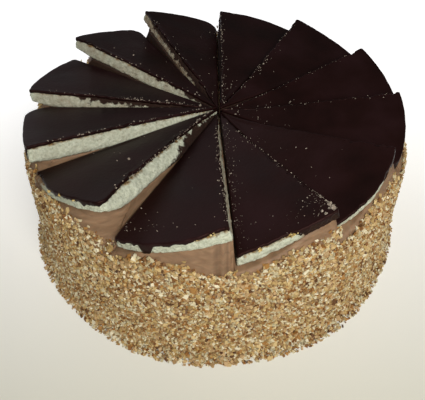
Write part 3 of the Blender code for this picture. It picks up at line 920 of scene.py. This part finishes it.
def make_nuts():
    """The coat of chopped nuts, one piece for each roast."""
    rng = np.random.default_rng(12)
    order = np.arange(COAT_GRAINS)
    height = (order + 0.5) / COAT_GRAINS * (COAT_TOP + COAT_SPARE)
    azimuth = order * GOLDEN_ANGLE + rng.normal(0, 0.004, COAT_GRAINS)
    height = np.concatenate([height, rng.uniform(0, 1, PILE_GRAINS) ** 1.4 * PILE_TOP])
    azimuth = np.concatenate([azimuth, rng.uniform(0, math.tau, PILE_GRAINS)])
    azimuth = (azimuth + math.pi) % math.tau - math.pi
    radius = wall_radius(height)
    x, y = radius * np.cos(azimuth), radius * np.sin(azimuth)
    own, aside, next_bed = beside_steps(x, y)
    beside_step = next_bed + np.array(STEP_NUTS)[own] * MM + STEP_CLIMB * aside
    line = np.minimum(coat_line(x, y), beside_step)
    pull = rounded(np.array(STEP_ROUND)[own] * MM, aside)
    shift = pull * pull_share(np.minimum(height, line), next_bed)
    keep = height < line - COAT_EDGE + rng.normal(0, COAT_FRAY, len(height))
    height, azimuth, shift = height[keep], azimuth[keep], shift[keep]
    count = len(height)
    sizes = np.clip(rng.lognormal(math.log(GRAIN_SIZE), GRAIN_SPREAD, count), *GRAIN_LIMITS) * MM
    height = np.maximum(height, sizes * 0.35)
    depth = rng.uniform(*NUT_DEPTHS, count) * MM - 0.25 * sizes
    depth -= rng.uniform(0, 1, count) ** 1.5 * foot_pile(height) * 0.9
    wave = foot_wave(azimuth) * foot_pile(height) / foot_pile(0)
    radius = wall_radius(height) + depth + wave + 0.3 * MM - shift
    places = np.stack([radius * np.cos(azimuth), radius * np.sin(azimuth), height], -1)
    slope = np.clip(foot_pile(height) / PILE_FALL, 0, 1.2)
    outward = np.stack([np.cos(azimuth), np.sin(azimuth), slope], -1)
    outward /= np.linalg.norm(outward, axis=1)[:, None]
    draw = rng.uniform(0, 1, count)
    made = []
    start = 0
    for name, share, dark, middle, light in NUT_KINDS:
        chosen = (draw >= start) & (draw < start + share)
        start += share
        look = roasted_nut(name.replace("grains", "look"), dark, middle, light)
        made.append(grains(name, places[chosen], outward[chosen], sizes[chosen], NUT_FLATNESS, look, rng))
    return made


# Slice, how many crumbs, whether by its raised edge, spread from that edge in
# millimetres, the shares of the reach between which they lie, and their usual size
CRUMB_DRIFTS = (
    (1, 150, False, 3, 0.12, 0.97, 0.26),
    (1, 90, True, 14, 0.84, 0.97, 0.27),
    (1, 60, True, 0.7, 0.955, 0.99, 0.45),
    (1, 40, True, 0.4, 0.88, 0.96, 0.35),
    (1, 16, True, 1.7, 0.945, 0.98, 1.3),
    (0, 26, False, 22, 0.9, 0.955, 0.3),
    (0, 70, True, 0.8, 0.15, 0.97, 0.45),
    (1, 60, True, 0.8, 0.2, 0.9, 0.35),
    (2, 22, False, 8, 0.1, 0.9, 0.35),
    (2, 3, False, 16, 0.4, 0.75, 1.1),
    (3, 22, False, 5, 0.08, 0.6, 0.35),
    (4, 30, True, 0.9, 0.1, 0.95, 0.4),
    (3, 26, True, 0.9, 0.1, 0.95, 0.4),
    (6, 80, True, 1.0, 0.05, 0.95, 0.4),
    (6, 22, True, 6, 0.05, 0.3, 0.55),
    (5, 36, True, 1.2, 0.15, 0.95, 0.38),
    (5, 14, True, 3, 0.4, 0.55, 0.7),
    (7, 26, True, 1.2, 0.1, 0.9, 0.5),
    (8, 40, True, 1.2, 0.1, 0.9, 0.5),
    (9, 60, True, 1.0, 0.05, 0.5, 0.5),
    (9, 20, True, 1.0, 0.5, 0.9, 0.4),
    (10, 60, True, 1.0, 0.05, 0.9, 0.5),
    (11, 80, True, 1.4, 0.05, 0.9, 0.5),
    (7, 14, False, 9, 0.1, 0.9, 0.45),
    (8, 14, False, 12, 0.1, 0.9, 0.4),
    (8, 3, True, 12, 0.6, 0.8, 0.9),
    (4, 18, False, 14, 0.05, 0.5, 0.5),
    (11, 10, False, 20, 0.1, 0.9, 0.4),
    (11, 2, True, 12, 0.5, 0.7, 0.9),
    (0, 16, False, 18, 0.1, 0.95, 0.3),
)
# Golden bits of crust on the broken rims: slice, and share of the rim
RIM_BITS = (
    (11, 0.42), (11, 0.47), (11, 0.5), (11, 0.56), (11, 0.6), (11, 0.67), (11, 0.71),
    (1, 0.2), (1, 0.22), (0, 0.72), (0, 0.86), (1, 0.52), (1, 0.57),
)
BITS_EACH = 4
# In millimetres: the sizes of the bits, and the largest crumb
BIT_SIZES = (0.8, 1.6)
CRUMB_LARGEST = 1.6
CRUMB_FLATNESS = (0.5, 0.9)


def make_rim_bits(look):
    """Golden bits of crust that cling to the top edge of the rims."""
    rng = np.random.default_rng(8)
    places, ups, sizes = [], [], []
    for index, share in RIM_BITS:
        outline = slice_outline(SLICES[index])
        edge = ring(SLICES[index], outline, SPONGE_TOP + 0.6 * MM, -0.9 * MM)
        spot = SIDE_POINTS + np.argmin(np.abs(outline.share[SIDE_POINTS:SIDE_POINTS + RIM_POINTS] - share))
        for _ in range(BITS_EACH):
            places.append(edge[spot] + rng.normal(0, 0.7, 3) * MM * (1, 1, 0.4))
            ups.append(np.array(bed(SLICES[index])[3]))
            sizes.append(rng.uniform(*BIT_SIZES) * MM)
    places, ups, sizes = np.array(places), np.array(ups), np.array(sizes)
    return grains("golden_crust_bits", places, ups, sizes, CRUMB_FLATNESS, look, rng)


def make_crumbs(look):
    """Sponge crumbs that fell on the chocolate beside the cuts and round the middle."""
    rng = np.random.default_rng(5)
    places, ups, sizes = [], [], []
    level = SPONGE_TOP + GAP + GLAZE_THICKNESS
    for index, count, raised, spread, start, end, usual in CRUMB_DRIFTS:
        piece = SLICES[index]
        tip, along, across, up = (np.array(axis) for axis in bed(piece))
        tilt = math.radians(piece.tilt)
        wide = tilted_width(piece)
        for _ in range(count):
            distance = piece.reach * MM * rng.uniform(start, end)
            aside = 0.6 * MM + rng.exponential(spread) * MM
            size = min(rng.lognormal(math.log(usual), 0.4), CRUMB_LARGEST) * MM
            angle = aside / distance
            if angle > wide * 0.9:
                continue
            angle = wide - angle if raised else angle
            lean = 0 if raised else level * math.tan(tilt) * (1 - angle / wide)
            flat = along * distance * math.cos(angle) + across * (distance * math.sin(angle) + lean)
            places.append(tip + flat + up * (level + 0.1 * size))
            ups.append(up)
            sizes.append(size)
    places, ups, sizes = np.array(places), np.array(ups), np.array(sizes)
    return grains("sponge_crumbs", places, ups, sizes, CRUMB_FLATNESS, look, rng)


def crumb_look():
    """Loose sponge crumbs: pale, dry and matt."""
    made, tree, shader, place = new_material("dry_sponge_crumb", 0.9, Specular_IOR_Level=0.2)
    speck = add(tree, "ShaderNodeTexNoise", {"Scale": per_mm(0.9)}, {"Vector": place})
    tone = colour_steps(tree, speck.outputs["Fac"], (0.35, "#7c7062"), (0.65, "#aaa092"))
    tree.links.new(tone, shader.inputs["Base Color"])
    return made


CAMERA_ELEVATION = 46.2
CAMERA_DISTANCE = 0.3949
CAMERA_LENS = 42.22
CAMERA_TARGET = Vector((-1.9 * MM, 2.8 * MM, 0))
# Half the width of the table, and how far it lies under the cake
TABLE_HALF = 3
TABLE_DROP = 0.5 * MM
ROOM_LIGHT = 0.13
# Each softbox: its name, place, aim, power, colour and size
SOFTBOXES = (
    ("key_softbox", (0.1, -0.43, 0.44), (0, 0, 0.05), 2.95, "#fffaf4", 0.3),
    ("back_softbox", (-0.3, 0.42, 0.5), (0, 0, 0.08), 0.62, "#f4f4ff", 0.5),
)


def make_camera():
    """The photograph's viewpoint: from the front, 46 degrees above the table."""
    data = bpy.data.cameras.new("front_camera")
    data.sensor_width = 36
    data.lens = CAMERA_LENS
    data.clip_start = 0.01
    camera = bpy.data.objects.new("front_camera", data)
    elevation = math.radians(CAMERA_ELEVATION)
    back = Vector((0, -math.cos(elevation), math.sin(elevation)))
    camera.location = CAMERA_TARGET + back * CAMERA_DISTANCE
    camera.rotation_euler = (math.pi / 2 - elevation, 0, 0)
    bpy.context.scene.collection.objects.link(camera)
    bpy.context.scene.camera = camera


def studio_light(name, place, aim, power, colour, size):
    """A round softbox at a place, turned to an aim."""
    data = bpy.data.lights.new(name, "AREA")
    data.energy = power
    data.color = linear(colour)[:3]
    data.shape = "DISK"
    data.size = size
    light = bpy.data.objects.new(name, data)
    light.location = place
    light.rotation_euler = (Vector(aim) - Vector(place)).to_track_quat("-Z", "Y").to_euler()
    bpy.context.scene.collection.objects.link(light)


def make_studio():
    """A pale table that glows as painted light, soft light all round, a softbox by the camera and one behind
    at the left.
    """
    world = bpy.data.worlds.new("soft_room")
    world.use_nodes = True
    world.node_tree.nodes["Background"].inputs["Color"].default_value = linear("#f6f6f6")
    world.node_tree.nodes["Background"].inputs["Strength"].default_value = ROOM_LIGHT
    bpy.context.scene.world = world
    for softbox in SOFTBOXES:
        studio_light(*softbox)

    # A table whose glow is painted light: it glows more toward the back, so the far side of the picture is
    # white; its colour also pales from the front to the back
    made, tree, shader, place = new_material(
        "pale_table", 0.85, Specular_IOR_Level=0.1, Emission_Strength=1,
    )
    split = add(tree, "ShaderNodeSeparateXYZ", None, {"Vector": place})
    depth = add(
        tree, "ShaderNodeMapRange", {"From Min": -0.22, "From Max": 0.2}, {"Value": split.outputs["Y"]},
    )
    tone = colour_steps(tree, depth.outputs["Result"], (0, "#bfbfae"), (0.5, "#e2e2dc"), (1, "#ffffff"))
    painted_glow = colour_steps(tree, depth.outputs["Result"], (0.1, "#4e4e4a"), (0.6, "#b6b6b4"), (1, "#e0e0e0"))
    tree.links.new(tone, shader.inputs["Base Color"])
    tree.links.new(painted_glow, shader.inputs["Emission Color"])
    corners = [(x * TABLE_HALF, y * TABLE_HALF, 0) for x, y in ((-1, -1), (1, -1), (1, 1), (-1, 1))]
    floor = mesh_piece("table", corners, [(0, 1, 2, 3)], made)
    floor.location.z = -TABLE_DROP


def main():
    """Makes every piece and ties it to its node."""
    cream = make_cream(milk_cream())
    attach(cream, "root")
    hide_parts("cake_body")
    for piece in make_nuts():
        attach(piece, "root")
    sponge_look, chocolate_look = pale_sponge(), dark_chocolate()
    for index, piece in enumerate(SLICES):
        sponge = make_sponge(index, piece, sponge_look)
        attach(sponge, "root")
        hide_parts(f"sponge_slice_{index + 1:02d}")
        glaze = make_glaze(index, piece, chocolate_look)
        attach(glaze, "root")
        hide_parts(f"glaze_slice_{index + 1:02d}")
    crust = roasted_nut("golden_crust", "#a38a4c", "#bfa566", "#d2bd84")
    for crumbs in (make_crumbs(crumb_look()), make_rim_bits(crust)):
        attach(crumbs, "root")
    make_camera()
    make_studio()


main()
bpy.context.scene.view_settings.view_transform = "Standard"
bpy.context.view_layer.update()
